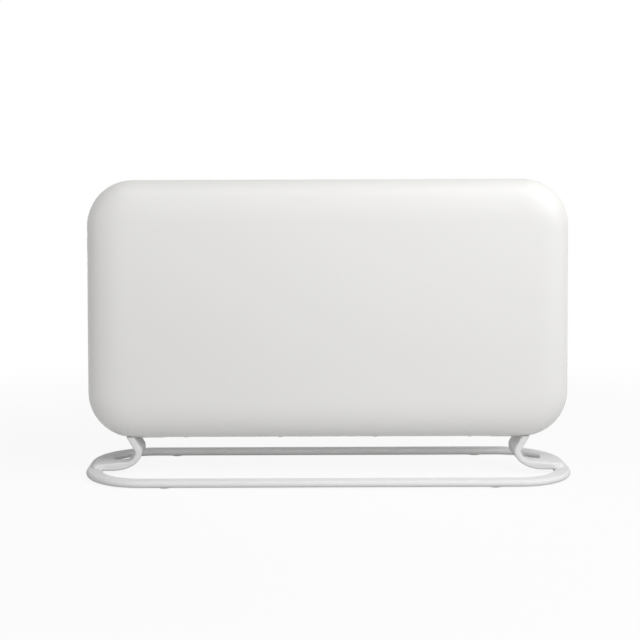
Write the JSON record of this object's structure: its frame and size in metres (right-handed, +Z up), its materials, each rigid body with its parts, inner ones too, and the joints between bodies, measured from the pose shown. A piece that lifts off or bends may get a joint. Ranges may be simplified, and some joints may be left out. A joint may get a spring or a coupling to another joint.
{
  "type": "convector heater",
  "caption": "Slim floor-standing convector heater: white panel casing with soft edges on two curved legs and a flat tube floor loop.",
  "frame": {"origin": "on the floor, under the middle of the stand", "axes": "+X to the user's right along the casing, +Y to the back wall, +Z up"},
  "size_m": [0.609, 0.188, 0.3715],
  "materials": {
    "casing_white": "smooth satin powder coat",
    "stand_white": "smooth satin powder coat",
    "zinc_steel": "zinc plated sheet",
    "screw_steel": "zinc plated",
    "sheath_steel": "annealed steel tube",
    "fin_aluminium": "extruded",
    "shield_aluminium": "bright sheet",
    "ceramic": "glazed ceramic",
    "brass": "machined",
    "tray_grey": "fine grain",
    "knob_white": "polished",
    "switch_black": "moulded",
    "rocker_black": "polished",
    "device_brown": "phenolic moulding",
    "block_white": "moulded",
    "lens_amber": "clear tint",
    "pad_rubber": "soft",
    "lead_brown": "silicone insulation",
    "lead_blue": "silicone insulation",
    "lead_green_yellow": "silicone insulation"
  },
  "bodies": {
    "heater": {"front_panel": "casing_white", "rear_casing": "casing_white", "control_side": "casing_white", "outlet_grille": "casing_white", "inlet_grille": "casing_white", "end_plate_left": "zinc_steel", "end_plate_right": "zinc_steel", "front_heat_shield": "shield_aluminium", "rear_heat_shield": "shield_aluminium", "element_sheath": "sheath_steel", "element_fins": "fin_aluminium", "element_bush_left": "ceramic", "element_bush_right": "ceramic", "element_terminals": "screw_steel", "control_tray": "tray_grey", "thermostat": "device_brown", "thermostat_nut": "brass", "indicator_lens": "lens_amber", "heat_switch_housing": "switch_black", "power_switch_housing": "switch_black", "thermal_cutout": "device_brown", "thermal_fuse": "screw_steel", "fuse_clip": "zinc_steel", "tilt_bracket": "zinc_steel", "pivot_clip": "screw_steel", "tilt_microswitch": "switch_black", "terminal_block": "block_white", "terminal_poles": "brass", "mains_gland": "switch_black", "gland_nut": "switch_black", "earth_stud": "screw_steel", "live_lead": "lead_brown", "switch_link_lead": "lead_brown", "thermostat_lead": "lead_brown", "cutout_lead": "lead_brown", "element_live_lead": "lead_brown", "element_neutral_lead": "lead_blue", "earth_lead": "lead_green_yellow", "floor_loop": "stand_white", "floor_pads": "pad_rubber", "leg_right": "stand_white", "leg_left": "stand_white", "leg_bracket_left": "zinc_steel", "leg_bracket_right": "zinc_steel", "leg_screws": "screw_steel", "loop_screws": "screw_steel", "panel_screws": "screw_steel", "rear_screws": "screw_steel", "wall_rivet_nuts": "zinc_steel"},
    "knob": {"thermostat_knob": "knob_white", "thermostat_shaft": "screw_steel"},
    "heat_rocker": {"heat_switch_rocker": "rocker_black"},
    "power_rocker": {"power_switch_rocker": "rocker_black"},
    "tilt_weight": {"tilt_pendulum": "screw_steel"}
  },
  "joints": [
    {"name": "knob_turn", "type": "hinge", "parent": "heater", "child": "knob", "pos_m": [0.29, 0.01, 0.283], "axis": [1, 0, 0], "range_deg": [0, 300]},
    {"name": "heat_rocker_tilt", "type": "hinge", "parent": "heater", "child": "heat_rocker", "pos_m": [0.2851, 0.01, 0.246], "axis": [0, 0, 1], "range_deg": [-16, 0]},
    {"name": "power_rocker_tilt", "type": "hinge", "parent": "heater", "child": "power_rocker", "pos_m": [0.2851, 0.01, 0.226], "axis": [0, 0, 1], "range_deg": [-16, 0]},
    {"name": "tilt_swing", "type": "hinge", "parent": "heater", "child": "tilt_weight", "pos_m": [0.2136, 0.004, 0.17], "axis": [1, 0, 0], "range_deg": [-20, 20]}
  ]
}
